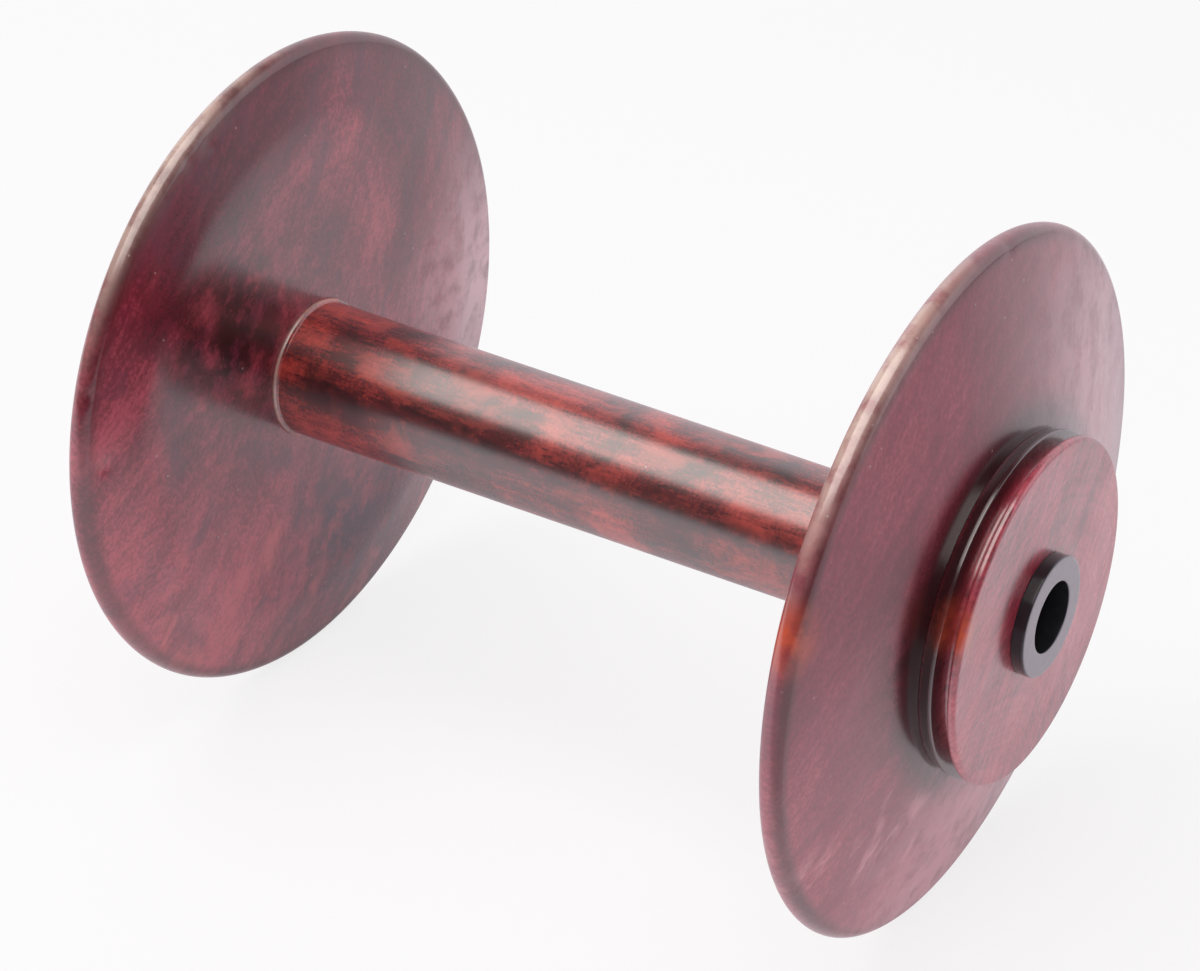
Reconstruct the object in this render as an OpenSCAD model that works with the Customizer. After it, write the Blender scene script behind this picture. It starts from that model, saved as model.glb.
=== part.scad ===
// Spinning wheel bobbin: two turned flanges on a hollow barrel, a grooved drive pulley
// at one end and a flanged plastic bush in each end.
// The axis of rotation lies along X, the pulley end is at +X, and the origin is
// half way between the outer faces of the two bushes.

/* [Flanges] */
// Diameter of both flanges
flange_d = 100; // [70:1:140]
// Thickness of a flange at its fully rounded rim
rim_t = 3.6; // [2.6:0.1:8]
// Rise of the crowned yarn face from the rim to the middle
crown_h = 2.3; // [0.6:0.1:4]
// Free width for the yarn, measured between the two rims
yarn_gap = 107.3; // [60:0.1:180]

/* [Barrel] */
// Diameter of the barrel at the plain end
barrel_rear_d = 20.5; // [19:0.1:34]
// Diameter of the barrel at the pulley end
barrel_front_d = 19; // [18:0.1:34]
// Height by which the bead at each end stands above the barrel
bead_h = 0.45; // [0.1:0.05:0.6]
// Width of that bead along the barrel
bead_w = 0.7; // [0.6:0.1:2]
// Wood left round the bush at the barrel's tenons
tenon_wall = 1.9; // [1:0.1:2.4]
// Length by which a tenon stops short of the outer face
tenon_short = 0.3; // [0.1:0.1:2]

/* [Drive pulley] */
// Diameter over the two lips
pulley_d = 48.6; // [34:0.1:68]
// Diameter of the neck between flange and lips
neck_d = 30; // [24:0.1:32]
// Width of the neck channel, which can also take a brake band
neck_w = 4.5; // [2:0.1:10]
// Radius of the hollow at the floor of the neck channel
neck_hollow_r = 0.9; // [0.2:0.1:0.9]
// Width of the inner lip
inner_lip_w = 3; // [1.2:0.1:6]
// Width of the V groove at its mouth
groove_w = 2.3; // [2:0.1:4]
// Angle between the two sides of the V groove
groove_angle = 36; // [30:1:60]
// Radius at the floor of the V groove
groove_floor_r = 0.5; // [0.2:0.1:0.6]
// Width of the outer lip
outer_lip_w = 1; // [0.9:0.1:3]
// Rounding where the pulley's outer lip meets its end face
face_round = 0.7; // [0.2:0.1:0.8]
// Rounding of the inner lip's back edge
back_round = 0.5; // [0.2:0.1:0.6]
// Rounding of the lips at the mouth of the V groove
mouth_round = 0.2; // [0.1:0.05:0.3]

/* [Bushes] */
// Diameter of the flyer shaft that the bobbin turns on
shaft_d = 9.5; // [6:0.1:10.5]
// Running clearance all round the shaft
shaft_gap = 0.3; // [0.1:0.05:0.4]
// Wall of the bush's sleeve
bush_wall = 1; // [0.7:0.1:1.4]
// Length of the sleeve that is pressed into the barrel
sleeve_l = 12; // [5:0.5:24]
// Width by which the bush's head covers the wood round the tenon
head_cover = 0.5; // [0.2:0.1:4]
// Thickness of the bush's head
head_t = 1.85; // [1:0.05:4]
// Rounding of the head's outer edge
head_round = 0.3; // [0.1:0.1:0.4]

/* [Fits and edges] */
// Space for glue round each tenon
glue_gap = 0.05; // [0.02:0.01:0.15]
// Space left round each pressed sleeve
press_gap = 0.02; // [0.01:0.01:0.05]
// Lead-in chamfer on tenons, sleeves and bore mouths
lead_in = 0.3; // [0.1:0.1:0.5]

/* [Hidden] */
wood_dark = "#5a1a22";
wood_mid = "#7a2f38";
wood_light = "#8c4650";
plastic_black = "#26262a";
// Sides of a small arc and of a full turn
smooth = 96;
smooth_big = 240;
// Share by which a rounding cut runs past the sides that it touches
overrun = 1.25;

// Radii that follow from one another, from the shaft outwards
bore_r = shaft_d / 2 + shaft_gap;
sleeve_r = bore_r + bush_wall;
barrel_bore_r = sleeve_r + press_gap;
tenon_r = barrel_bore_r + tenon_wall;
socket_r = tenon_r + glue_gap;
head_r = socket_r + head_cover;

// Crowned face: an arc about the axis that runs tangent into the rim's half round
rim_r = rim_t / 2;
rim_centre = flange_d / 2 - rim_r;
crown_top = rim_t + crown_h;
crown_r = (rim_centre^2 + (crown_top - rim_r)^2 - rim_r^2) / (2 * crown_h);
crown_centre = crown_top - crown_r;
crown_lean = atan2(rim_r - crown_centre, rim_centre);

// Flat seat that each end of the barrel stands on
function seat_r(barrel_d) = barrel_d / 2 + bead_h;
function hub_t(barrel_d) = crown_centre + sqrt(crown_r^2 - seat_r(barrel_d)^2);
hub_rear = hub_t(barrel_rear_d);
hub_front = hub_t(barrel_front_d);
barrel_l = yarn_gap + 2 * rim_t - hub_rear - hub_front;

// Stations along the axis
pulley_l = neck_w + inner_lip_w + groove_w + outer_lip_w;
overall_l = 2 * head_t + 2 * rim_t + yarn_gap + pulley_l;
rear_face = head_t - overall_l / 2;
front_face = rear_face + 2 * rim_t + yarn_gap;
pulley_face = front_face + pulley_l;
foot_rear = rear_face + hub_rear;

// Revolves a half profile about the X axis, from a station at x towards +X or -X
module turned(x, towards = 1) {
    translate([x, 0, 0])
        rotate([0, towards * 90, 0])
            rotate_extrude($fn = smooth_big)
                children();
}

// Sliver between a corner at p and an arc of radius r that touches both of its sides,
// which leave p at angles a and b: cut away it rounds an edge, added it fills a hollow
module corner(p, a, b, r) {
    half = abs(a - b) / 2;
    along_a = [cos(a), sin(a)];
    along_b = [cos(b), sin(b)];
    inward = (along_a + along_b) / norm(along_a + along_b);
    centre = p + inward * r / sin(half);
    past_a = p + along_a * r / tan(half) - centre;
    past_b = p + along_b * r / tan(half) - centre;
    difference() {
        polygon([centre, centre + past_a * overrun, p - inward * r / 2, centre + past_b * overrun]);
        translate(centre) circle(r, $fn = smooth);
    }
}

// Half profile of a plain collar from radius inner to radius outer
module collar(inner, outer, from, to) {
    translate([inner, from]) square([outer - inner, to - from]);
}

// Half profile of a flange: flat outer face at 0, crowned face above it
module flange_profile(barrel_d) {
    tip = [cos(crown_lean), sin(crown_lean)];
    rim = [rim_centre, rim_r];
    difference() {
        union() {
            translate(rim) circle(rim_r, $fn = smooth);
            intersection() {
                translate([0, crown_centre]) circle(crown_r, $fn = 4 * smooth_big);
                polygon([[0, 0], [rim_centre, 0], rim, rim + tip * (rim_r + crown_h),
                         [0, crown_top + crown_h]]);
            }
        }
        translate([0, -rim_t]) square([socket_r, 2 * crown_top + rim_t]);
        translate([0, hub_t(barrel_d)]) square([flange_d / 2, crown_h]);
    }
}

module rear_flange() {
    color(wood_mid) turned(rear_face) flange_profile(barrel_rear_d);
}

module front_flange() {
    color(wood_mid) turned(front_face, -1) flange_profile(barrel_front_d);
}

// Bead against the flange at a foot of the barrel, with its free edge rounded
module bead_profile(foot_r) {
    bead_r = foot_r + bead_h;
    difference() {
        collar(barrel_bore_r, bead_r, 0, bead_w);
        corner([bead_r, bead_w], 180, 270, bead_h);
    }
}

// Hollow tapered tube with a bead at each foot and a tenon at each end
module barrel() {
    rear_end = tenon_short - hub_rear;
    front_end = barrel_l + hub_front + pulley_l - tenon_short;
    rear_r = barrel_rear_d / 2;
    front_r = barrel_front_d / 2;
    color(wood_dark) turned(foot_rear) {
        polygon([[barrel_bore_r, rear_end + lead_in], [barrel_bore_r + lead_in, rear_end],
                 [tenon_r - lead_in, rear_end], [tenon_r, rear_end + lead_in],
                 [tenon_r, 0], [rear_r, 0], [front_r, barrel_l], [tenon_r, barrel_l],
                 [tenon_r, front_end - lead_in], [tenon_r - lead_in, front_end],
                 [barrel_bore_r + lead_in, front_end], [barrel_bore_r, front_end - lead_in]]);
        bead_profile(rear_r);
        translate([0, barrel_l]) mirror([0, 1]) bead_profile(front_r);
    }
}

// Half profile of the V groove, pointing inwards from the mouth at radius r
module groove_profile(r) {
    half = groove_angle / 2;
    apex = r - groove_w / 2 / tan(half);
    side = groove_floor_r / tan(half);
    reach = (r - apex) / cos(half) * 1.5;
    low = [apex + side * cos(half), side * sin(half)];
    high = [apex + reach * cos(half), reach * sin(half)];
    polygon([low, high, [high[0], -high[1]], [low[0], -low[1]]]);
    translate([apex + groove_floor_r / sin(half), 0]) circle(groove_floor_r, $fn = smooth);
}

// Whorl: neck against the flange, inner lip, V groove, outer lip and flat end face
module drive_pulley() {
    lip_r = pulley_d / 2;
    neck_r = neck_d / 2;
    groove_low = neck_w + inner_lip_w;
    groove_high = groove_low + groove_w;
    flank = groove_angle / 2;
    color(wood_light) turned(front_face) difference() {
        union() {
            collar(socket_r, neck_r, 0, neck_w);
            collar(socket_r, lip_r, neck_w, pulley_l);
            corner([neck_r, neck_w], 0, -90, neck_hollow_r);
        }
        corner([lip_r, neck_w], 180, 90, back_round);
        corner([lip_r, pulley_l], 180, 270, face_round);
        translate([0, (groove_low + groove_high) / 2]) groove_profile(lip_r);
        corner([lip_r, groove_low], 180 - flank, 270, mouth_round);
        corner([lip_r, groove_high], 180 + flank, 90, mouth_round);
    }
}

// Half profile of a bush: head above 0, sleeve below it
module bush_profile() {
    difference() {
        polygon([[bore_r, -sleeve_l], [sleeve_r - lead_in, -sleeve_l], [sleeve_r, lead_in - sleeve_l],
                 [sleeve_r, 0], [head_r, 0], [head_r, head_t], [bore_r, head_t]]);
        corner([head_r, head_t], 180, 270, head_round);
    }
}

module rear_bush() {
    color(plastic_black) turned(rear_face, -1) bush_profile();
}

module front_bush() {
    color(plastic_black) turned(pulley_face) bush_profile();
}

rear_flange();
barrel();
front_flange();
drive_pulley();
rear_bush();
front_bush();
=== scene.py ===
import math
import bpy
import numpy as np
from mathutils import Matrix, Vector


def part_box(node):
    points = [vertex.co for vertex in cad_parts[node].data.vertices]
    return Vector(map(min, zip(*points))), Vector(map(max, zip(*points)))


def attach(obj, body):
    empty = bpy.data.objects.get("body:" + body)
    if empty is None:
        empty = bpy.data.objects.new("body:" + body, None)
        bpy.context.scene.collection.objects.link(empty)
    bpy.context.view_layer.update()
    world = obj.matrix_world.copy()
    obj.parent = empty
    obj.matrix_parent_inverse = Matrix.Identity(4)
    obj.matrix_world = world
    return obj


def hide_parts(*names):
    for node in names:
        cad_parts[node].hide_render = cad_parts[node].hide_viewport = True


# A turned wooden bobbin for a spinning wheel, lying on its two rims.
# The axis of rotation is X, the pulley end is at +X, and every size is in metres.

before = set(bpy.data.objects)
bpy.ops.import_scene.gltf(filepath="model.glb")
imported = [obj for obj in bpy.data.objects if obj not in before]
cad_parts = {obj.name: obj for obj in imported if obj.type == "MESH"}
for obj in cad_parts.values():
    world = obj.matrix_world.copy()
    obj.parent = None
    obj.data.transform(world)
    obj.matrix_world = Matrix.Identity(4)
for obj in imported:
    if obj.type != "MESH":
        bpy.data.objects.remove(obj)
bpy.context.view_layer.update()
bpy.context.scene.view_settings.view_transform = "Standard"
mm = 0.001


# Camera and lamp

camera = {
    "azimuth": 32.84,        # degrees round from the front, towards the pulley end
    "elevation": 32.22,      # degrees above the table
    "distance": 0.4545,
    "aim": (-0.00423, -0.00354, -0.00104),
    "lens": 96.63,
    "sensor": 36.0,
}

light = {
    "boxFrom": (-0.12, -0.30, 0.95),    # direction towards the overhead softbox
    "boxDistance": 0.85,
    "boxSize": (1.05, 0.80),            # along the bobbin and across it
    "boxWatts": 5.9,
    "boxTint": (1.0, 0.96, 0.92),
    "roomFill": (0.50, 0.49, 0.52),
    "roomDark": (0.030, 0.028, 0.032),  # the unlit side of the room, as it shines back
    "backdrop": (0.90, 0.88, 0.93),     # the pale sweep behind the table, as it shines back
    "behind": (0.05, 0.45),             # Y of the directions between which it begins
    "above": (0.88, 0.55),              # Z of the directions between which it ends
    "floorHalf": 1.5,
    "floorColour": (0.88, 0.86, 0.90),
    "floorSeen": 0.80,                  # share of plain white that the camera sees
    "floorMirrored": 0.30,              # and that reflections see beside the bobbin
    "mirroredWhite": (1.0, 0.94, 0.98),
    "poolLean": 0.5,                    # the pool of light ends along a line that leans so
    "poolEdge": (0.08, 0.15),           # X - lean * Y between which it fades
    "unlitShare": 0.40,                 # share of the room's dark beyond it
}


def stand(data, name, at, back, across):
    # Stands a lamp or the camera at a point, facing against back, its width along across
    back = np.array(back) / np.linalg.norm(back)
    side = np.array(across) - back * np.dot(across, back)
    side /= np.linalg.norm(side)
    axes = np.stack([side, np.cross(back, side), back], axis=1)
    obj = bpy.data.objects.new(name, data)
    bpy.context.collection.objects.link(obj)
    obj.matrix_world = Matrix.Translation([float(v) for v in at]) @ Matrix(axes.tolist()).to_4x4()
    return obj


def makeCamera(spec):
    turn, rise = math.radians(spec["azimuth"]), math.radians(spec["elevation"])
    back = np.array([math.sin(turn) * math.cos(rise), -math.cos(turn) * math.cos(rise),
                     math.sin(rise)])
    data = bpy.data.cameras.new("photoCamera")
    data.lens = spec["lens"]
    data.sensor_width = spec["sensor"]
    data.clip_start, data.clip_end = 0.01, 20.0
    across = (math.cos(turn), math.sin(turn), 0.0)
    at = np.array(spec["aim"]) + back * spec["distance"]
    bpy.context.scene.camera = stand(data, "photoCamera", at, back, across)


def makeLamp(spec):
    back = np.array(spec["boxFrom"]) / np.linalg.norm(spec["boxFrom"])
    data = bpy.data.lights.new("softbox", "AREA")
    data.shape = "RECTANGLE"
    data.size, data.size_y = spec["boxSize"]
    data.energy = spec["boxWatts"]
    data.color = spec["boxTint"]
    stand(data, "softbox", back * spec["boxDistance"], back, (1.0, 0.0, 0.0))


makeCamera(camera)
makeLamp(light)
print("camera and lamp placed")


# Node helpers

def addNode(tree, kind, **values):
    made = tree.nodes.new(kind)
    for name, value in values.items():
        setattr(made, name, value)
    return made


def feed(tree, socket, source):
    if isinstance(source, bpy.types.NodeSocket):
        tree.links.new(source, socket)
    elif source is not None:
        socket.default_value = source


def calc(tree, operation, first, second=None, third=None):
    made = addNode(tree, "ShaderNodeMath", operation=operation)
    for socket, source in zip(made.inputs, (first, second, third)):
        feed(tree, socket, source)
    return made.outputs[0]


def remap(tree, value, low, high, outLow=0.0, outHigh=1.0):
    made = addNode(tree, "ShaderNodeMapRange", interpolation_type="SMOOTHSTEP")
    for name, source in (("Value", value), ("From Min", low), ("From Max", high),
                         ("To Min", outLow), ("To Max", outHigh)):
        feed(tree, made.inputs[name], source)
    return made.outputs["Result"]


def mixColour(tree, factor, first, second):
    made = addNode(tree, "ShaderNodeMix", data_type="RGBA", clamp_factor=True)
    feed(tree, made.inputs[0], factor)
    feed(tree, made.inputs[6], first)
    feed(tree, made.inputs[7], second)
    return made.outputs[2]


def noise(tree, vector, scale, detail=2.0, rough=0.5, warp=0.0):
    made = addNode(tree, "ShaderNodeTexNoise")
    feed(tree, made.inputs["Vector"], vector)
    for name, value in (("Scale", scale), ("Detail", detail), ("Roughness", rough),
                        ("Distortion", warp)):
        made.inputs[name].default_value = value
    return made.outputs["Fac"]


def cells(tree, vector, scale):
    made = addNode(tree, "ShaderNodeTexVoronoi", feature="F1", voronoi_dimensions="3D")
    feed(tree, made.inputs["Vector"], vector)
    made.inputs["Scale"].default_value = scale
    return made.outputs["Distance"]


def mapped(tree, vector, turn=(0, 0, 0), scale=(1, 1, 1), shift=(0, 0, 0)):
    made = addNode(tree, "ShaderNodeMapping", vector_type="POINT")
    feed(tree, made.inputs["Vector"], vector)
    made.inputs["Rotation"].default_value = [math.radians(a) for a in turn]
    made.inputs["Scale"].default_value = scale
    made.inputs["Location"].default_value = shift
    return made.outputs["Vector"]


def newGroup(name, inputs, outputs):
    tree = bpy.data.node_groups.new(name, "ShaderNodeTree")
    kinds = {"value": "NodeSocketFloat", "vector": "NodeSocketVector"}
    for label, kind in inputs:
        tree.interface.new_socket(label, in_out="INPUT", socket_type=kinds[kind])
    for label in outputs:
        tree.interface.new_socket(label, in_out="OUTPUT", socket_type="NodeSocketFloat")
    return tree, addNode(tree, "NodeGroupInput").outputs, addNode(tree, "NodeGroupOutput").inputs


def useGroup(tree, group, **values):
    made = addNode(tree, "ShaderNodeGroup", node_tree=group)
    for name, source in values.items():
        feed(tree, made.inputs[name], source)
    return made.outputs


# Shared effects. In a board's own coordinates Z runs along the grain.

def archFigure():
    # A plain-sawn board shows nested arches: along + sharpness * (across - middle)^2 is the
    # same number all over one arch. A slow noise bends them. Inside the arch of the given
    # height the wood is paler, and a noise of one dimension over that number bands the rest.
    tree, give, take = newGroup("archFigure",
                                [("vector", "vector"), ("middle", "value"),
                                 ("sharpness", "value"), ("height", "value"),
                                 ("bands", "value"), ("bend", "value")], ["inside", "rings"])
    split = addNode(tree, "ShaderNodeSeparateXYZ")
    feed(tree, split.inputs[0], give["vector"])
    slow = noise(tree, mapped(tree, give["vector"], scale=(1, 1, 0.6)), 75.0, 3.0, 0.55)
    bent = calc(tree, "MULTIPLY", calc(tree, "SUBTRACT", slow, 0.5), give["bend"])
    across = calc(tree, "SUBTRACT", split.outputs["Y"], give["middle"])
    arch = calc(tree, "MULTIPLY", calc(tree, "MULTIPLY", across, across), give["sharpness"])
    arch = calc(tree, "ADD", calc(tree, "ADD", arch, split.outputs["Z"]), bent)
    feed(tree, take["inside"], remap(tree, calc(tree, "SUBTRACT", give["height"], arch),
                                     -0.003, 0.004))
    shell = addNode(tree, "ShaderNodeTexNoise", noise_dimensions="1D")
    feed(tree, shell.inputs["W"], calc(tree, "MULTIPLY", arch, give["bands"]))
    shell.inputs["Scale"].default_value = 1.0
    shell.inputs["Detail"].default_value = 2.5
    shell.inputs["Roughness"].default_value = 0.6
    feed(tree, take["rings"], remap(tree, shell.outputs["Fac"], 0.36, 0.64))
    return tree


def woodFibre():
    # Fibres and streaks are noises drawn out along the grain. Vessels are the cores of long
    # thin cells, which leave short dark dashes.
    tree, give, take = newGroup("woodFibre", [("vector", "vector")],
                                ["fibre", "vessels", "streaks"])
    drawn = mapped(tree, give["vector"], scale=(1, 1, 0.09))
    feed(tree, take["fibre"], remap(tree, noise(tree, drawn, 2600.0, 3.0, 0.62), 0.36, 0.66))
    dashes = cells(tree, mapped(tree, give["vector"], scale=(1, 1, 0.16)), 1700.0)
    feed(tree, take["vessels"], remap(tree, dashes, 0.34, 0.16))
    wide = mapped(tree, give["vector"], scale=(1, 1, 0.07))
    feed(tree, take["streaks"], remap(tree, noise(tree, wide, 620.0, 3.0, 0.6), 0.38, 0.64))
    return tree


def stainMottle():
    # Stain takes up unevenly: wide soft clouds, dark smoky blotches, small flames drawn
    # along the grain, and a fine speckle.
    tree, give, take = newGroup("stainMottle", [("vector", "vector")],
                                ["clouds", "smoke", "flames", "speckle"])
    slow = mapped(tree, give["vector"], scale=(1, 1, 0.55))
    feed(tree, take["clouds"], remap(tree, noise(tree, slow, 55.0, 3.0, 0.55, 0.4), 0.36, 0.64))
    drift = mapped(tree, give["vector"], scale=(1, 1, 0.6), shift=(0.3, 0.1, 0.2))
    feed(tree, take["smoke"], remap(tree, noise(tree, drift, 75.0, 4.0, 0.6, 0.8), 0.53, 0.68))
    licks = mapped(tree, give["vector"], scale=(1, 1, 0.34))
    feed(tree, take["flames"], remap(tree, noise(tree, licks, 190.0, 4.0, 0.6, 0.5), 0.50, 0.70))
    feed(tree, take["speckle"], remap(tree, noise(tree, give["vector"], 1500.0, 2.0, 0.6),
                                      0.38, 0.66))
    return tree


def turnedEdge():
    # How near a point lies to a ring-shaped edge at station x and radius r: 1 on the edge
    # and 0 beyond its reach, broken up by noise as far as it is told to.
    tree, give, take = newGroup("turnedEdge",
                                [("vector", "vector"), ("station", "value"), ("radius", "value"),
                                 ("reach", "value"), ("broken", "value")], ["mask"])
    split = addNode(tree, "ShaderNodeSeparateXYZ")
    feed(tree, split.inputs[0], give["vector"])
    out = calc(tree, "SQRT", calc(tree, "ADD",
                                  calc(tree, "MULTIPLY", split.outputs["Y"], split.outputs["Y"]),
                                  calc(tree, "MULTIPLY", split.outputs["Z"], split.outputs["Z"])))
    dr = calc(tree, "SUBTRACT", out, give["radius"])
    dx = calc(tree, "SUBTRACT", split.outputs["X"], give["station"])
    gap = calc(tree, "SQRT", calc(tree, "ADD", calc(tree, "MULTIPLY", dr, dr),
                                  calc(tree, "MULTIPLY", dx, dx)))
    near = remap(tree, calc(tree, "DIVIDE", gap, give["reach"]), 1.0, 0.15)
    holes = remap(tree, noise(tree, give["vector"], 90.0, 4.0, 0.65), 0.62, 0.46)
    kept = calc(tree, "SUBTRACT", 1.0, calc(tree, "MULTIPLY", holes, give["broken"]))
    feed(tree, take["mask"], calc(tree, "MULTIPLY", near, kept))
    return tree


# Lays worn spots, and painted highlights, reflections and shade alike.
def wearAndLightPatch():
    # Patch about a point, ragged at its margin. Its size along each axis is its reach
    # divided by stretch, so a small stretch along X draws it out into a streak.
    tree, give, take = newGroup("wearAndLightPatch",
                                [("vector", "vector"), ("centre", "vector"),
                                 ("stretch", "vector"), ("reach", "value")], ["mask"])
    apart = addNode(tree, "ShaderNodeVectorMath", operation="SUBTRACT")
    feed(tree, apart.inputs[0], give["vector"])
    feed(tree, apart.inputs[1], give["centre"])
    drawn = addNode(tree, "ShaderNodeVectorMath", operation="MULTIPLY")
    feed(tree, drawn.inputs[0], apart.outputs["Vector"])
    feed(tree, drawn.inputs[1], give["stretch"])
    gap = addNode(tree, "ShaderNodeVectorMath", operation="LENGTH")
    feed(tree, gap.inputs[0], drawn.outputs["Vector"])
    near = remap(tree, calc(tree, "DIVIDE", gap.outputs["Value"], give["reach"]), 1.0, 0.0)
    ragged = remap(tree, noise(tree, give["vector"], 230.0, 4.0, 0.6), 0.32, 0.60, 0.35, 1.0)
    feed(tree, take["mask"], calc(tree, "MULTIPLY", near, ragged))
    return tree


def lacquerSkin():
    # Satin lacquer: a slow orange-peel swell, a finer leathery skin and the grain that
    # shows through it, uneven gloss, and a few specks of dust caught in the film.
    tree, give, take = newGroup("lacquerSkin",
                                [("vector", "vector"), ("fibre", "value"), ("vessels", "value")],
                                ["height", "haze", "dust"])
    peel = noise(tree, give["vector"], 420.0, 2.0, 0.5)
    leather = noise(tree, give["vector"], 1300.0, 2.0, 0.55)
    tooth = noise(tree, give["vector"], 2800.0, 1.0, 0.5)
    rise = calc(tree, "MULTIPLY_ADD", peel, 1.1, calc(tree, "MULTIPLY", tooth, 0.25))
    grain = calc(tree, "SUBTRACT", calc(tree, "MULTIPLY", give["fibre"], 0.22),
                 calc(tree, "MULTIPLY", give["vessels"], 0.30))
    feed(tree, take["height"], calc(tree, "ADD", calc(tree, "ADD", rise, leather), grain))
    feed(tree, take["haze"], remap(tree, noise(tree, give["vector"], 130.0, 4.0, 0.6), 0.3, 0.7))
    sparse = remap(tree, noise(tree, give["vector"], 70.0, 2.0, 0.5), 0.50, 0.62)
    specks = remap(tree, cells(tree, give["vector"], 330.0), 0.075, 0.035)
    feed(tree, take["dust"], calc(tree, "MULTIPLY", specks, sparse))
    return tree


groups = {"arch": archFigure(), "fibre": woodFibre(), "mottle": stainMottle(),
          "edge": turnedEdge(), "patch": wearAndLightPatch(), "lacquer": lacquerSkin()}
print("shared effects built")


# Finishes

def stainedWood(name, spec):
    material = bpy.data.materials.new(name)
    material.use_nodes = True
    tree = material.node_tree
    shader = tree.nodes["Principled BSDF"]
    point = addNode(tree, "ShaderNodeTexCoord").outputs["Object"]
    turned = mapped(tree, point, turn=spec["boardTurn"])
    figure = useGroup(tree, groups["arch"], vector=turned, middle=spec["archMiddle"],
                      sharpness=spec["archSharpness"], height=spec["archHeight"],
                      bands=spec["bands"], bend=spec["bend"])
    board = mapped(tree, turned, shift=spec["boardShift"])
    drawn = mapped(tree, board, scale=(1, 1, spec["shorten"]))
    fibre = useGroup(tree, groups["fibre"], vector=drawn)
    mottle = useGroup(tree, groups["mottle"], vector=drawn)

    depth = calc(tree, "MULTIPLY", figure["rings"], spec["ringShare"])
    depth = calc(tree, "MULTIPLY_ADD", figure["inside"], spec["archShare"], depth)
    depth = calc(tree, "MULTIPLY_ADD", fibre["fibre"], spec["fibreShare"], depth)
    depth = calc(tree, "MULTIPLY_ADD", fibre["streaks"], spec["streakShare"], depth)
    depth = calc(tree, "MULTIPLY_ADD", mottle["clouds"], spec["cloudShare"], depth)
    depth = calc(tree, "MULTIPLY_ADD", mottle["speckle"], spec["speckleShare"], depth)
    depth = calc(tree, "MULTIPLY_ADD", fibre["vessels"], -spec["vesselShare"], depth)
    ramp = addNode(tree, "ShaderNodeValToRGB")
    stops = ramp.color_ramp.elements
    stops[0].position, stops[0].color = 0.15, (*spec["dark"], 1.0)
    stops[1].position, stops[1].color = 0.88, (*spec["light"], 1.0)
    middle = stops.new(0.5)
    middle.color = (*spec["middle"], 1.0)
    feed(tree, ramp.inputs[0], depth)

    smoky = calc(tree, "MULTIPLY", mottle["smoke"], spec["smokeShare"])
    colour = mixColour(tree, smoky, ramp.outputs["Color"], (*spec["smoke"], 1.0))
    split = addNode(tree, "ShaderNodeSeparateXYZ")
    feed(tree, split.inputs[0], point)
    # Where flameLow is larger than flameShare, the flames grow towards the bottom: on the flanges
    # this is a painted reflection of the pale table on their lower parts.
    low = remap(tree, split.outputs["Z"], -0.008, -0.026, spec["flameShare"], spec["flameLow"])
    colour = mixColour(tree, calc(tree, "MULTIPLY", mottle["flames"], low), colour,
                       (*spec["flame"], 1.0))
    # The edge rings are painted light and shade: dark rings on the rims and round the pulley's
    # foot, and a highlight on the barrel's bead.
    for station, radius, reach, broken, share, tint in spec["edges"]:
        paintedLight = useGroup(tree, groups["edge"], vector=point, station=station, radius=radius,
                        reach=reach, broken=broken)["mask"]
        colour = mixColour(tree, calc(tree, "MULTIPLY", paintedLight, share), colour, (*tint, 1.0))
    for centre, reach, stretch, share, tint in spec["patches"]:
        patch = useGroup(tree, groups["patch"], vector=point, centre=centre, stretch=stretch,
                         reach=reach)["mask"]
        colour = mixColour(tree, calc(tree, "MULTIPLY", patch, share), colour, (*tint, 1.0))
    skin = useGroup(tree, groups["lacquer"], vector=point, fibre=fibre["fibre"],
                    vessels=fibre["vessels"])
    colour = mixColour(tree, calc(tree, "MULTIPLY", skin["dust"], 0.45), colour,
                       (0.62, 0.48, 0.46, 1.0))
    feed(tree, shader.inputs["Base Color"], colour)
    smoothest, roughest = spec["roughness"]
    feed(tree, shader.inputs["Roughness"], remap(tree, skin["haze"], 0.0, 1.0, smoothest,
                                                 roughest))
    bump = addNode(tree, "ShaderNodeBump")
    bump.inputs["Strength"].default_value = 1.0
    bump.inputs["Distance"].default_value = spec["bump"] * mm
    feed(tree, bump.inputs["Height"], skin["height"])
    feed(tree, shader.inputs["Normal"], bump.outputs["Normal"])
    shader.inputs["Specular IOR Level"].default_value = spec["specular"]
    shader.inputs["Coat Weight"].default_value = 1.0
    shader.inputs["Coat Roughness"].default_value = spec["coatRoughness"]
    shader.inputs["Coat IOR"].default_value = spec["coatIor"]
    return material


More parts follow.
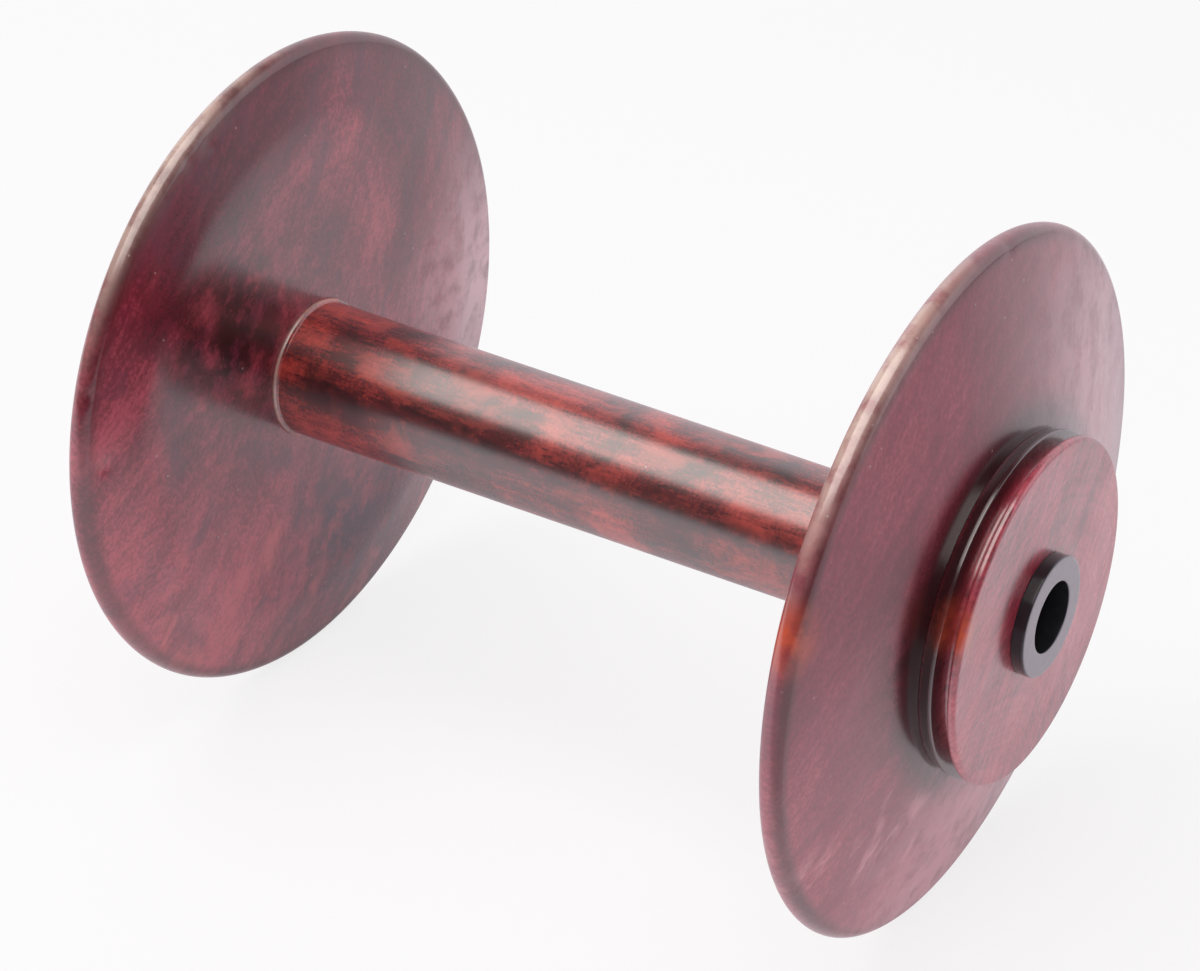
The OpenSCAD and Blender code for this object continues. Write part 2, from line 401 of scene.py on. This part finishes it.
def blackPlastic(name, spec):
    material = bpy.data.materials.new(name)
    material.use_nodes = True
    tree = material.node_tree
    shader = tree.nodes["Principled BSDF"]
    point = addNode(tree, "ShaderNodeTexCoord").outputs["Object"]
    sheen = noise(tree, point, 900.0, 3.0, 0.6)
    scuff = noise(tree, mapped(tree, point, scale=(1, 1, 0.25)), 2200.0, 3.0, 0.6)
    tint = mixColour(tree, sheen, (*spec["dark"], 1.0), (*spec["light"], 1.0))
    split = addNode(tree, "ShaderNodeSeparateXYZ")
    feed(tree, split.inputs[0], point)
    # The end face gets a paler colour: a painted reflection of the pale table.
    outermost = endFace + bush["head"]
    face = remap(tree, calc(tree, "ABSOLUTE", split.outputs["X"]), outermost - 0.12 * mm,
                 outermost - 0.02 * mm)
    feed(tree, shader.inputs["Base Color"], mixColour(tree, face, tint, (*spec["paintedLight"], 1.0)))
    shader.inputs["Specular IOR Level"].default_value = spec["specular"]
    feed(tree, shader.inputs["Roughness"], remap(tree, sheen, 0.3, 0.7, *spec["roughness"]))
    bump = addNode(tree, "ShaderNodeBump")
    bump.inputs["Strength"].default_value = 1.0
    bump.inputs["Distance"].default_value = spec["bump"] * mm
    feed(tree, bump.inputs["Height"], scuff)
    feed(tree, shader.inputs["Normal"], bump.outputs["Normal"])
    shader.inputs["Coat Weight"].default_value = 1.0
    shader.inputs["Coat Roughness"].default_value = spec["coatRoughness"]
    shader.inputs["Coat IOR"].default_value = spec["coatIor"]
    return material


# Turned shapes. An outline is a closed row of points (x, r) in the half plane above the axis.

edgeBreak = 0.05 * mm


def arc(centre, radius, start, end, count):
    # Points at centre + radius * (cos a, sin a), with a running evenly from start to end
    a = np.radians(np.linspace(start, end, count))
    return np.stack([centre[0] + radius * np.cos(a), centre[1] + radius * np.sin(a)], axis=1)


def run(first, last, count):
    # Points spaced evenly on the straight line from first to last
    share = np.linspace(0.0, 1.0, count)[:, None]
    return np.array(first) * (1 - share) + np.array(last) * share


def rounded(corner, first, second, radius, count):
    # Arc that touches the two sides leaving a corner at the angles first and second
    half = math.radians(abs(first - second)) / 2
    ways = np.radians([first, second])
    ways = np.stack([np.cos(ways), np.sin(ways)], axis=1)
    inward = ways.sum(axis=0) / np.linalg.norm(ways.sum(axis=0))
    centre = np.array(corner) + inward * radius / math.sin(half)
    ends = np.array(corner) + ways * radius / math.tan(half) - centre
    start, stop = np.degrees(np.arctan2(ends[:, 1], ends[:, 0]))
    sweep = (stop - start + 180.0) % 360.0 - 180.0
    return arc(centre, radius, start, start + sweep, count)


def joined(*parts):
    # One closed outline from its parts, without the points that two parts share. A sharp
    # corner is broken by four points, one and three edge breaks before and after it.
    points = np.concatenate(parts)
    points = points[np.linalg.norm(points - np.roll(points, 1, axis=0), axis=1) > 1e-7]
    before = points - np.roll(points, 1, axis=0)
    after = np.roll(points, -1, axis=0) - points
    lengthBefore = np.linalg.norm(before, axis=1)
    lengthAfter = np.linalg.norm(after, axis=1)
    u, v = before / lengthBefore[:, None], after / lengthAfter[:, None]
    sharp = np.sum(u * v, axis=1) < math.cos(math.radians(26.0))
    back = np.minimum(edgeBreak, lengthBefore / 7)[:, None]
    ahead = np.minimum(edgeBreak, lengthAfter / 7)[:, None]
    four = np.stack([points - 3 * back * u, points - back * u,
                     points + ahead * v, points + 3 * ahead * v], axis=1)
    four[~sharp] = points[~sharp][:, None, :]
    keep = np.repeat(sharp[:, None], 4, axis=1)
    keep[:, 0] = True
    return four[keep]


def revolve(name, outline, turns, relief=None):
    # Surface of revolution about X on a grid: point (i, j) is outline point i turned by the
    # angle a of column j, at (x, -r cos a, r sin a). relief(x, r, a) is a depth by which
    # the surface is cut in along its normal.
    x, r = outline[:, 0], outline[:, 1]
    if np.sum(x * np.roll(r, -1) - np.roll(x, -1) * r) > 0:
        x, r = x[::-1], r[::-1]
    gridX = np.repeat(x[:, None], turns, axis=1)
    gridR = np.repeat(r[:, None], turns, axis=1)
    gridA = np.repeat(np.linspace(0.0, 2 * np.pi, turns, endpoint=False)[None, :], len(x), axis=0)
    if relief is not None:
        alongX = np.roll(x, -1) - np.roll(x, 1)
        alongR = np.roll(r, -1) - np.roll(r, 1)
        length = np.hypot(alongX, alongR)
        cut = relief(gridX, gridR, gridA)
        gridX = gridX + (alongR / length)[:, None] * cut
        gridR = gridR - (alongX / length)[:, None] * cut
    points = np.stack([gridX, -gridR * np.cos(gridA), gridR * np.sin(gridA)], axis=2)
    index = np.arange(gridX.size).reshape(gridX.shape)
    beside = np.roll(index, -1, axis=1)
    onward = np.roll(index, -1, axis=0)
    faces = np.stack([index, onward, np.roll(onward, -1, axis=1), beside], axis=2)
    return gridMesh(name, points.reshape(-1, 3), faces.reshape(-1, 4))


def gridMesh(name, points, faces):
    mesh = bpy.data.meshes.new(name)
    mesh.vertices.add(len(points))
    mesh.vertices.foreach_set("co", points.astype(np.float32).ravel())
    mesh.loops.add(faces.size)
    mesh.loops.foreach_set("vertex_index", faces.astype(np.int32).ravel())
    mesh.polygons.add(len(faces))
    mesh.polygons.foreach_set("loop_start", np.arange(0, faces.size, 4, dtype=np.int32))
    mesh.polygons.foreach_set("use_smooth", np.ones(len(faces), dtype=bool))
    mesh.update(calc_edges=True)
    mesh.validate()
    obj = bpy.data.objects.new(name, mesh)
    bpy.context.collection.objects.link(obj)
    return obj


def dress(obj, material, cadNode):
    obj.data.materials.append(material)
    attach(obj, "root")
    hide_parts(cadNode)
    print("made", obj.name, "with", len(obj.data.polygons), "faces")


# Stations along the axis, taken from the frame

rearLow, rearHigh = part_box("rear_flange")
frontLow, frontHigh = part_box("front_flange")
barrelLow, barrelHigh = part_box("barrel")
rearFace, rearFoot = rearLow[0], rearHigh[0]
frontFace, frontFoot = frontHigh[0], frontLow[0]
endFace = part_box("drive_pulley")[1][0]

core = {
    "shaftR": 5.05 * mm,
    "sleeveR": 6.05 * mm,
    "barrelBoreR": 6.07 * mm,
    "tenonR": 7.97 * mm,
    "socketR": 8.02 * mm,
    "headR": 8.52 * mm,
}

# Pale cream: a painted highlight, laid on the upper left of both rims where the softbox shines on
# them, and on the barrel's bead at its rear foot.
creamHighlight = (0.68, 0.50, 0.42)
rubbedRed = (0.62, 0.085, 0.030)
# Near black: painted shade, laid in the corners and recesses round the pulley, in the barrel's
# dark reflection on the rear flange, and in a dark band along the barrel.
paintedShade = (0.018, 0.0022, 0.0028)
# Dark red: painted shade, a ring on each flange just inside the rim's round, where the rim
# reflects the dark side of the room.
rimShade = (0.075, 0.0070, 0.0110)
# Dark mauve: painted shade on the rear flange, below the barrel and just above it.
mauveShade = (0.045, 0.0150, 0.0380)
# Pale rose: a painted reflection of the pale table, on the rear flange's right margin and the
# front flange's upper right.
paleRoseReflection = (0.820, 0.4700, 0.5300)
# Rose: a painted reflection of the pale table on the lower parts of the flanges.
roseReflection = (0.780, 0.3000, 0.3500)
evenly = (1.0, 1.0, 1.0)         # stretch of a patch that is as long as it is wide
rimOnly = (14.0, 1.0, 1.0)       # and of one that stays on the rim


# Flanges

flange = {
    "radius": 50.0 * mm,
    "rim": 3.6 * mm,
    "marginWidth": 13.7 * mm,    # sloping margin of the yarn face, in from the rim's round
    "curveWidth": 6.0 * mm,      # part of it that bends over into the flat middle
    "marginAngle": 11.4,
    "coneRise": 5.4 * mm,        # outer face of the front flange, from rim to pulley
    "turns": 470,
    "waver": 0.03 * mm,
}

flangeWood = {
    "boardTurn": (36.87, 0, 0),
    "boardShift": (0, 0.004, 0.01),
    "shorten": 1.0,
    "archMiddle": -0.009,
    "archSharpness": 41.5,
    "archHeight": 0.036,
    "archShare": 0.28,
    "bands": 260.0,
    "bend": 0.014,
    "ringShare": 0.12,
    "fibreShare": 0.08,
    "streakShare": 0.08,
    "cloudShare": 0.36,
    "speckleShare": 0.20,
    "vesselShare": 0.08,
    "smokeShare": 0.70,
    # On the flanges the flames grow strongly towards the bottom: painted reflection on the lower
    # parts.
    "flameShare": 0.10,
    "flameLow": 0.75,
    "dark": (0.105, 0.0070, 0.0210),
    "middle": (0.220, 0.0160, 0.0390),
    "light": (0.500, 0.0680, 0.1050),
    "smoke": (0.105, 0.0160, 0.0500),
    "flame": (0.620, 0.1150, 0.1250),
    "roughness": (0.36, 0.50),
    "specular": 0.06,
    "coatRoughness": 0.20,
    "coatIor": 2.0,
    "bump": 0.06,
}


def flangeOutline(face, towards, coneRise):
    # From the socket out over the outer face, round the rim, and back over the yarn face:
    # a bevel tangent to the rim's round, an arc tangent to the bevel, and a flat middle.
    # The cone runs from the pulley's seat and touches the rim's round.
    rimR = flange["rim"] / 2
    ringR = flange["radius"] - rimR
    slope = math.radians(flange["marginAngle"])
    flatR = ringR - flange["marginWidth"]
    curveEnd = flatR + flange["curveWidth"]
    bevel = (rimR * (1 + math.cos(slope)), ringR + rimR * math.sin(slope))
    bevelEnd = (bevel[0] + (bevel[1] - curveEnd) * math.tan(slope), curveEnd)
    curveR = flange["curveWidth"] / math.sin(slope)
    top = bevelEnd[0] + curveR * (1 - math.cos(slope))
    seatR = pulley["radius"] if coneRise > 0 else core["headR"] + 2 * mm
    reach = (rimR + coneRise, ringR - seatR)
    lean = math.atan2(*reach) - math.asin(rimR / math.hypot(*reach))
    length = math.sqrt(math.hypot(*reach) ** 2 - rimR ** 2)
    coneEnd = (length * math.sin(lean) - coneRise, seatR + length * math.cos(lean))
    outline = joined(
        run((-coneRise, core["socketR"]), (-coneRise, seatR), 8),
        run((-coneRise, seatR), coneEnd, 44),
        arc((rimR, ringR), rimR, 180.0 - math.degrees(lean), flange["marginAngle"], 37),
        run(bevel, bevelEnd, 14),
        arc((top - curveR, flatR), curveR, flange["marginAngle"], 0.0, 18),
        run((top, flatR), (top, core["socketR"]), 30),
        run((top, core["socketR"]), (-coneRise, core["socketR"]), 4))
    return outline * (towards, 1.0) + (face, 0.0)


def handled(nicks):
    # Cuts into a flange: a slow waver along the rim, and dents, each a bell curve of the
    # distance from its own centre
    def relief(x, r, a):
        byRim = np.exp(-((r - flange["radius"]) / (2.5 * mm)) ** 2)
        cut = byRim * flange["waver"] * (1 + np.sin(3 * a + 0.7) * np.sin(7 * a + 2.1))
        for angle, station, radius, size, depth in nicks:
            turn = a - math.radians(angle)
            apart = (x - station) ** 2 + (r - radius) ** 2 + 2 * r * radius * (1 - np.cos(turn))
            cut = cut + depth * np.exp(-apart / size ** 2)
        return cut
    return relief


# Drive pulley

pulley = {
    "radius": 24.3 * mm,
    "foot": 1.6 * mm,
    "footInset": 0.6 * mm,
    "innerLip": 0.5 * mm,
    "groove": 2.3 * mm,
    "grooveAngle": 36.0,
    "floorR": 0.5 * mm,
    "outerLip": 1.0 * mm,
    "faceRound": 0.7 * mm,
    "shoulderRound": 0.8 * mm,
    "mouthRound": 0.2 * mm,
    "turns": 420,
}

pulleyWood = {
    "boardTurn": (36.87, 0, 0),
    "boardShift": (0.01, 0.03, 0.02),
    "shorten": 1.0,
    "archMiddle": 0.004,
    "archSharpness": 30.0,
    "archHeight": 0.010,
    "archShare": 0.08,
    "bands": 420.0,
    "bend": 0.008,
    "ringShare": 0.14,
    "fibreShare": 0.16,
    "streakShare": 0.18,
    "cloudShare": 0.28,
    "speckleShare": 0.16,
    "vesselShare": 0.12,
    "smokeShare": 0.25,
    "flameShare": 0.25,
    "flameLow": 0.25,
    "dark": (0.180, 0.0120, 0.0260),
    "middle": (0.480, 0.0480, 0.0820),
    "light": (0.660, 0.1200, 0.1600),
    "smoke": (0.220, 0.0280, 0.0620),
    "flame": (0.680, 0.1300, 0.1400),
    "roughness": (0.36, 0.50),
    "specular": 0.25,
    "coatRoughness": 0.20,
    "coatIor": 2.35,
    "bump": 0.05,
}


def pulleyOutline():
    # From the seat outwards: undercut foot, inner lip, V groove, outer lip and end face
    p = pulley
    flank = p["grooveAngle"] / 2
    lipR = p["radius"]
    foot = (p["foot"], lipR)
    under = (0.0, lipR - p["footInset"])
    backAngle = math.degrees(math.atan2(under[1] - foot[1], under[0] - foot[0]))
    nearFoot = np.array(under) * 0.12 + np.array(foot) * 0.88
    grooveX = p["foot"] + p["innerLip"]
    outerX = grooveX + p["groove"]
    faceX = outerX + p["outerLip"]
    middle = (grooveX + outerX) / 2
    apex = lipR - p["groove"] / 2 / math.tan(math.radians(flank))
    floor = apex + p["floorR"] / math.sin(math.radians(flank))
    outline = joined(
        run((0.0, core["socketR"]), under, 8),
        run(under, nearFoot, 8),
        rounded(foot, backAngle, 0.0, p["shoulderRound"], 7),
        run((foot[0] + 0.2 * mm, lipR), (grooveX - 0.2 * mm, lipR), 2),
        rounded((grooveX, lipR), 180.0, 270.0 + flank, p["mouthRound"], 7),
        arc((middle, floor), p["floorR"], 180.0 + flank, 360.0 - flank, 13),
        rounded((outerX, lipR), 270.0 - flank, 360.0, p["mouthRound"], 7),
        rounded((faceX, lipR), 180.0, 270.0, p["faceRound"], 12),
        run((faceX, lipR - p["faceRound"]), (faceX, core["socketR"]), 30),
        run((faceX, core["socketR"]), (0.0, core["socketR"]), 6))
    return outline + (endFace - faceX, 0.0)


# Barrel

barrel = {
    "rearR": 10.25 * mm,
    "frontR": 9.5 * mm,
    "bead": 0.45 * mm,
    "beadWidth": 0.7 * mm,
    "sink": 0.03 * mm,           # each foot is let into its flange by this much
    "turns": 240,
}

barrelWood = {
    "boardTurn": (0, -90, 0),
    "boardShift": (0, 0, 0.05),
    "shorten": 1.5,
    "archMiddle": 0.0,
    "archSharpness": 0.0,
    "archHeight": 0.0,
    "archShare": 0.0,
    "bands": 90.0,
    "bend": 0.030,
    "ringShare": 0.18,
    "fibreShare": 0.12,
    "streakShare": 0.20,
    "cloudShare": 0.44,
    "speckleShare": 0.16,
    "vesselShare": 0.16,
    "smokeShare": 0.75,
    "flameShare": 0.50,
    "flameLow": 0.50,
    "dark": (0.022, 0.0018, 0.0026),
    "middle": (0.165, 0.0100, 0.0115),
    "light": (0.540, 0.0560, 0.0400),
    "smoke": (0.020, 0.0020, 0.0028),
    "flame": (0.640, 0.0700, 0.0420),
    "roughness": (0.38, 0.52),
    "specular": 0.15,
    "coatRoughness": 0.27,
    "coatIor": 2.45,
    "bump": 0.10,
}


def barrelOutline():
    # Tapered tube with a quarter-round bead at each foot; the tenons are inside the flanges
    rear, front = barrel["rearR"], barrel["frontR"]
    bead, width = barrel["bead"], barrel["beadWidth"]
    bore, tenon = core["barrelBoreR"], core["tenonR"]
    start, end = rearFoot - barrel["sink"], frontFoot + barrel["sink"]
    return joined(
        run((barrelLow[0], bore), (barrelLow[0], tenon), 3),
        run((barrelLow[0], tenon), (start, tenon), 4),
        run((start, tenon), (start, rear + bead), 3),
        run((start, rear + bead), (rearFoot + width - bead, rear + bead), 3),
        arc((rearFoot + width - bead, rear), bead, 90.0, 10.0, 9),
        run((rearFoot + width + 0.05 * mm, rear), (frontFoot - width - 0.05 * mm, front), 180),
        arc((frontFoot - width + bead, front), bead, 170.0, 90.0, 9),
        run((frontFoot - width + bead, front + bead), (end, front + bead), 3),
        run((end, front + bead), (end, tenon), 3),
        run((end, tenon), (barrelHigh[0], tenon), 6),
        run((barrelHigh[0], tenon), (barrelHigh[0], bore), 3),
        run((barrelHigh[0], bore), (barrelLow[0], bore), 40))


# Bushes

bush = {
    "head": 1.85 * mm,
    "sleeve": 12.0 * mm,
    "leadIn": 0.3 * mm,
    "headRound": 0.3 * mm,
    "mouthRound": 0.15 * mm,
    "turns": 160,
}

bushPlastic = {
    "dark": (0.012, 0.012, 0.015),
    "light": (0.026, 0.025, 0.030),
    "paintedLight": (0.230, 0.200, 0.235),      # end face: painted reflection of the pale table, paler than the black
    "roughness": (0.28, 0.40),
    "specular": 0.2,
    "coatRoughness": 0.12,
    "coatIor": 1.5,
    "bump": 0.01,
}


def bushOutline(face, towards):
    # Head that stands proud of the wood, sleeve behind it, straight bore through both
    head, sleeve, headR = bush["head"], bush["sleeve"], core["headR"]
    bore, sleeveR, lead = core["shaftR"], core["sleeveR"], bush["leadIn"]
    outline = joined(
        run((-sleeve, bore), (-sleeve, sleeveR - lead), 3),
        run((-sleeve, sleeveR - lead), (lead - sleeve, sleeveR), 3),
        run((lead - sleeve, sleeveR), (0.0, sleeveR), 4),
        run((0.0, sleeveR), (0.0, headR), 4),
        run((0.0, headR), (head - bush["headRound"], headR), 5),
        rounded((head, headR), 180.0, 270.0, bush["headRound"], 9),
        run((head, headR - bush["headRound"]), (head, bore + bush["mouthRound"]), 12),
        rounded((head, bore), 90.0, 180.0, bush["mouthRound"], 6),
        run((head - bush["mouthRound"], bore), (-sleeve, bore), 30))
    return outline * (towards, 1.0) + (face, 0.0)


# The six pieces

rimMiddle = flange["rim"] / 2
rearNicks = ((67, rearFace + 3.6 * mm, 47.4 * mm, 1.3 * mm, 0.16 * mm),
             (62, rearFace + 3.3 * mm, 48.6 * mm, 1.1 * mm, 0.12 * mm),
             (20, rearFace + 2.6 * mm, 49.6 * mm, 1.2 * mm, 0.15 * mm),
             (7, rearFace + 4.0 * mm, 46.2 * mm, 1.1 * mm, 0.12 * mm))
frontNicks = ((97, frontFace - 0.6 * mm, 49.4 * mm, 1.2 * mm, 0.14 * mm),
              (48, frontFace - 2.0 * mm, 49.9 * mm, 1.4 * mm, 0.12 * mm),
              (-24, frontFace - 0.4 * mm, 49.2 * mm, 1.2 * mm, 0.13 * mm))
rearWood = dict(flangeWood,
                # The edge is painted shade: a dark ring inside the rim's round.
                edges=((rearFace + 3.2 * mm, 0.0492, 0.0024, 0.2, 0.75, rimShade),),
                # The first patch is a painted highlight on the upper left of the rim.
                patches=(((rearFace + 1.2 * mm, -0.0250, 0.0433), 0.0420, rimOnly, 1.0, creamHighlight),
                         # The next patch is a painted reflection on the right margin.
                         ((rearFoot, 0.0470, -0.0040), 0.0320, evenly, 0.90, paleRoseReflection),
                         # The next patch is a faint painted reflection on the lower left.
                         ((rearFoot, -0.0300, -0.0240), 0.0200, evenly, 0.15, roseReflection),
                         # The next two patches are painted shade: darker below the barrel and just
                         # above it.
                         ((rearFoot, 0.0050, -0.0300), 0.0290, evenly, 0.95, mauveShade),
                         ((rearFoot, 0.0040, 0.0200), 0.0080, evenly, 0.60, mauveShade),
                         # The last patch is painted shade: the dark reflection of the barrel on
                         # this flange.
                         ((rearFoot, -0.0180, 0.0136), 0.0350, evenly, 0.98, paintedShade)))
coneTop = frontFace + flange["coneRise"]
# The front flange's wood is a lighter, paler copy of the rear flange's, with pale pink flames:
# painted light, for the stronger light and reflection on its outer face.
frontWood = dict(flangeWood, boardShift=(0.02, 0.05, 0.03), archMiddle=0.012,
                 archSharpness=24.0, archHeight=0.040, archShare=0.12, cloudShare=0.30,
                 flameShare=0.05, flameLow=0.75, smokeShare=0.30, dark=(0.200, 0.0170, 0.0390),
                 middle=(0.310, 0.0330, 0.0660), light=(0.520, 0.0900, 0.1280),
                 smoke=(0.190, 0.0260, 0.0640), flame=(0.820, 0.3600, 0.3900), coatIor=2.15,
                 # The first edge is painted shade: a dark ring inside the rim's round.
                 edges=((frontFace - 0.5 * mm, 0.0490, 0.0018, 0.2, 0.85, rimShade),
                        # The second edge is painted shade: a dark ring round the pulley's foot,
                        # where the pulley shades the flange and darkens its reflection.
                        (coneTop, pulley["radius"], 0.0066, 0.0, 0.92, paintedShade)),
                 # The first patch is a painted highlight on the upper left of the rim.
                 patches=(((frontFace - 2.4 * mm, -0.0250, 0.0433), 0.0420, rimOnly, 1.0,
                           creamHighlight),
                          # The next patch is painted shade, wider on the left of the pulley's
                          # foot.
                          ((coneTop, -0.0250, 0.0040), 0.0120, (1.0, 1.0, 0.5), 0.90,
                           paintedShade),
                          # The next patch is a painted reflection on the upper right.
                          ((frontFace, 0.0320, 0.0240), 0.0340, evenly, 0.60, paleRoseReflection),
                          # The next patch is a painted reflection on the lower part.
                          ((frontFace, -0.0020, -0.0440), 0.0420, evenly, 1.0, roseReflection),
                          ((frontFace - rimMiddle, -0.0466, 0.0181), 0.0070, evenly, 1.0,
                           rubbedRed)))
lipX = endFace - pulley["outerLip"] / 2
# The edge is painted shade, darkening the pulley's undercut foot and its groove.
whorlWood = dict(pulleyWood, edges=((endFace - 3.9 * mm, 0.0240, 0.0036, 0.0, 0.95, paintedShade),),
                 patches=(((lipX, -0.0222, 0.0095), 0.0060, evenly, 1.0, rubbedRed),))
# The edge is a painted highlight on the bead at the barrel's rear foot.
tubeWood = dict(barrelWood, edges=((rearFoot + 0.3 * mm, 0.0107, 0.0004, 0.3, 0.6, creamHighlight),),
                # Both patches are painted shade: a dark band along the barrel's near side, under
                # its highlight, where it reflects the dark side of the room.
                patches=(((0.012, -0.0094, 0.0026), 0.0042, (0.05, 1.0, 1.0), 0.92, paintedShade),
                         ((-0.0460, -0.0096, 0.0026), 0.0052, (0.35, 1.0, 1.0), 0.95,
                          (0.006, 0.0014, 0.0016))))

dress(revolve("rearFlange", flangeOutline(rearFace, 1, 0.0), flange["turns"],
              handled(rearNicks)), stainedWood("rearFlangeWood", rearWood),
      "rear_flange")
dress(revolve("frontFlange", flangeOutline(frontFace, -1, flange["coneRise"]), flange["turns"],
              handled(frontNicks)), stainedWood("frontFlangeWood", frontWood),
      "front_flange")
dress(revolve("barrelTube", barrelOutline(), barrel["turns"]),
      stainedWood("barrelTubeWood", tubeWood), "barrel")
dress(revolve("drivePulley", pulleyOutline(), pulley["turns"]),
      stainedWood("drivePulleyWood", whorlWood), "drive_pulley")
plastic = blackPlastic("bushPlastic", bushPlastic)
dress(revolve("frontBush", bushOutline(endFace, 1), bush["turns"]), plastic,
      "front_bush")
dress(revolve("rearBush", bushOutline(rearFace, -1), bush["turns"]), plastic,
      "rear_bush")


# Table and room

def makeFloor(spec, height):
    # A pale table. The camera sees it mixed with plain white, and its shadows stay in the
    # rest of the mix. Reflections see white there too, and the room's dark past the pool.
    half = spec["floorHalf"]
    corners = np.array([[-half, -half, height], [half, -half, height],
                        [half, half, height], [-half, half, height]])
    floor = gridMesh("tableTop", corners, np.array([[0, 1, 2, 3]]))
    material = bpy.data.materials.new("paleTable")
    material.use_nodes = True
    tree = material.node_tree
    tree.nodes.remove(tree.nodes["Principled BSDF"])
    path = addNode(tree, "ShaderNodeLightPath").outputs
    split = addNode(tree, "ShaderNodeSeparateXYZ")
    feed(tree, split.inputs[0], addNode(tree, "ShaderNodeTexCoord").outputs["Object"])
    along = calc(tree, "MULTIPLY_ADD", split.outputs["Y"], -spec["poolLean"],
                 split.outputs["X"])
    pool = remap(tree, along, *spec["poolEdge"], spec["floorMirrored"], spec["unlitShare"])
    shine = mixColour(tree, remap(tree, along, *spec["poolEdge"]),
                      (*spec["mirroredWhite"], 1.0), (*spec["roomDark"], 1.0))
    mirrored = calc(tree, "MAXIMUM", path["Is Glossy Ray"], path["Is Transmission Ray"])
    seen = calc(tree, "MAXIMUM", calc(tree, "MULTIPLY", path["Is Camera Ray"],
                                      spec["floorSeen"]), calc(tree, "MULTIPLY", mirrored, pool))
    matt = addNode(tree, "ShaderNodeBsdfDiffuse")
    matt.inputs["Color"].default_value = (*spec["floorColour"], 1.0)
    white = addNode(tree, "ShaderNodeEmission")
    feed(tree, white.inputs["Color"], mixColour(tree, path["Is Camera Ray"], shine,
                                                (1.0, 1.0, 1.0, 1.0)))
    both = addNode(tree, "ShaderNodeMixShader")
    feed(tree, both.inputs[0], seen)
    feed(tree, both.inputs[1], matt.outputs[0])
    feed(tree, both.inputs[2], white.outputs[0])
    feed(tree, tree.nodes["Material Output"].inputs["Surface"], both.outputs[0])
    floor.data.materials.append(material)


def makeRoom(spec):
    # White where the camera looks, and an even pale fill. Reflections see a dim room with
    # a pale backdrop low down behind the table.
    world = bpy.data.worlds.new("studio")
    world.use_nodes = True
    bpy.context.scene.world = world
    tree = world.node_tree
    path = addNode(tree, "ShaderNodeLightPath").outputs
    split = addNode(tree, "ShaderNodeSeparateXYZ")
    feed(tree, split.inputs[0], addNode(tree, "ShaderNodeTexCoord").outputs["Generated"])
    sweep = calc(tree, "MULTIPLY", remap(tree, split.outputs["Y"], *spec["behind"]),
                 remap(tree, split.outputs["Z"], *spec["above"]))
    shine = mixColour(tree, sweep, (*spec["roomDark"], 1.0), (*spec["backdrop"], 1.0))
    mirrored = calc(tree, "MAXIMUM", path["Is Glossy Ray"], path["Is Transmission Ray"])
    colour = mixColour(tree, mirrored, (*spec["roomFill"], 1.0), shine)
    colour = mixColour(tree, path["Is Camera Ray"], colour, (1.0, 1.0, 1.0, 1.0))
    feed(tree, tree.nodes["Background"].inputs["Color"], colour)


makeFloor(light, -flange["radius"])
makeRoom(light)
print("table and room made")
